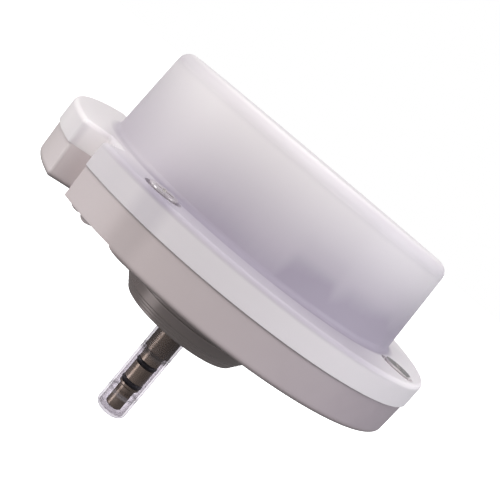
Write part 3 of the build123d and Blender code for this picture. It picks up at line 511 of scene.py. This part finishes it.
# Painted shade on the flange top, darker at the front, less where the painted light falls.
flange_painted_light_and_shade = on_flange * (0.30 + 0.46 * front.rise(4, 20) - end_glow)
lobe_end = across.rise(*lobe_end_x)
# Painted shade on the rim, darker at the front and beside the notch; painted lighter at the lobe's end.
rim = on_rim * (0.17 + 0.10 * front.rise(10, 30) + 0.14 * beside_notch(across, along) - 0.20 * lobe_end)
# Painted shadow on the wall over the front screw boss.
boss = over_boss(across, along, cover_boss_start_y) * 0.2
# Painted shade in a band under the drum's top edge.
crest_painted_shade = height.rise(*crest_rise) * height.rise(*crest_fall) * on_drum * 0.22
dress(
    cover_finish.done(
        cover_finish.principled(
            Base_Color=cover_finish.blend(
                drum_painted_shade * on_drum + crest_painted_shade + flange_painted_light_and_shade + rim + boss, milky_white, violet_painted_shade
            ),
            Roughness=0.5 + 0.08 * cloud,
            Specular_IOR_Level=0.35,
            Subsurface_Weight=0.25,
            Subsurface_Radius=(1.0, 0.92, 1.0),
            Subsurface_Scale=0.0015,
            Normal=cover_finish.bump(cover_finish.noise(0.6), 0.006),
        )
    ),
    "top_cover",
)
dress(rubber("grey gasket", (0.05, 0.05, 0.052)), "cover_gasket")


# ---- Studio ---------------------------------------------------------------------------------------
# Pale floor below the lowest place that the pulled sleeve reaches, a soft warm key high on the left, a
# cool lamp low on the right, and an even pale room all round with one bright window.
floor_level = -58 * MM
floor_radius = 6.0
floor_shape = bmesh.new()
bmesh.ops.create_circle(floor_shape, cap_ends=True, segments=96, radius=floor_radius)
bmesh.ops.translate(floor_shape, verts=floor_shape.verts, vec=(0, 0, floor_level))
floor_mesh = bpy.data.meshes.new("floor")
floor_shape.to_mesh(floor_mesh)
floor_shape.free()
floor = bpy.data.objects.new("floor", floor_mesh)
bpy.context.scene.collection.objects.link(floor)
floor_finish = Finish("pale floor")
floor_mesh.materials.append(
    floor_finish.done(
        floor_finish.principled(
            Base_Color=floor_finish.blend(floor_finish.noise(30), (0.90, 0.90, 0.90), (0.93, 0.93, 0.93)),
            Roughness=0.9,
            Specular_IOR_Level=0.0,
            Emission_Color=(1, 1, 1, 1),
            Emission_Strength=1.0,
        )
    )
)
floor.visible_diffuse = False
floor.visible_glossy = False

target = Vector((0, 0, 18 * MM))
for name, place, size, power, colour in (
    ("key", (-0.22, -0.58, 0.46), 0.45, 2.9, (1.0, 0.97, 0.955)),
    ("overhead", (0.0, 0.10, 0.75), 0.6, 0.9, (1.0, 1.0, 1.0)),
    ("right", (0.60, -0.24, 0.28), 0.4, 3.1, (0.94, 0.955, 1.0)),
    ("left", (-0.65, 0.05, 0.25), 0.35, 1.3, (1.0, 0.98, 0.97)),
):
    light = bpy.data.lights.new(name, "AREA")
    light.shape = "SQUARE"
    light.size = size
    light.energy = power
    light.color = colour
    lamp = bpy.data.objects.new(name, light)
    lamp.location = place
    lamp.rotation_euler = (target - Vector(place)).to_track_quat("-Z", "Y").to_euler()
    bpy.context.scene.collection.objects.link(lamp)

world = bpy.data.worlds.new("room")
bpy.context.scene.world = world
room = Shading(world)
way = room.node("ShaderNodeTexCoord", output="Generated")


def towards(direction):
    """How far the view into the room points along a direction, from -1 to 1."""
    unit = Vector(direction).normalized()
    return room.node("ShaderNodeVectorMath", {"operation": "DOT_PRODUCT"}, {0: way, 1: unit}, output="Value")


bright_side = (-0.6, -0.35, 0.72)
window_side = (-0.89, -0.40, -0.22)
window = towards(window_side).rise(0.955, 0.985)
strength = 0.20 + 0.34 * towards(bright_side).rise(-0.6, 0.9) + 1.5 * window
walls = room.node("ShaderNodeBackground", sockets={"Color": (0.98, 0.98, 1.0, 1), "Strength": strength})
plain = room.node("ShaderNodeBackground", sockets={"Color": (1, 1, 1, 1), "Strength": 1.0})
seen = room.node("ShaderNodeLightPath", output="Is Camera Ray")
room.done(
    room.node("ShaderNodeMixShader", sockets={0: seen, 1: walls, 2: plain}), kind="ShaderNodeOutputWorld"
)

camera_place = (-0.0199, -0.18465, 0.04593)
heading = math.radians(6.523)
pitch = math.radians(7.545)
roll = math.radians(40.065)
forward = Vector((math.sin(heading) * math.cos(pitch), math.cos(heading) * math.cos(pitch), -math.sin(pitch)))
right = Vector((math.cos(heading), -math.sin(heading), 0))
up = right.cross(forward)
picture_right = math.cos(roll) * right + math.sin(roll) * up
picture_up = math.cos(roll) * up - math.sin(roll) * right
camera_data = bpy.data.cameras.new("camera")
camera_data.lens = 65.55
camera_data.sensor_width = 36.0
camera_data.clip_start = 0.01
camera = bpy.data.objects.new("camera", camera_data)
camera.matrix_world = Matrix.Translation(camera_place) @ (
    Matrix((picture_right, picture_up, -forward)).transposed().to_4x4()
)
bpy.context.scene.collection.objects.link(camera)
bpy.context.scene.camera = camera
bpy.context.scene.view_settings.view_transform = "Standard"
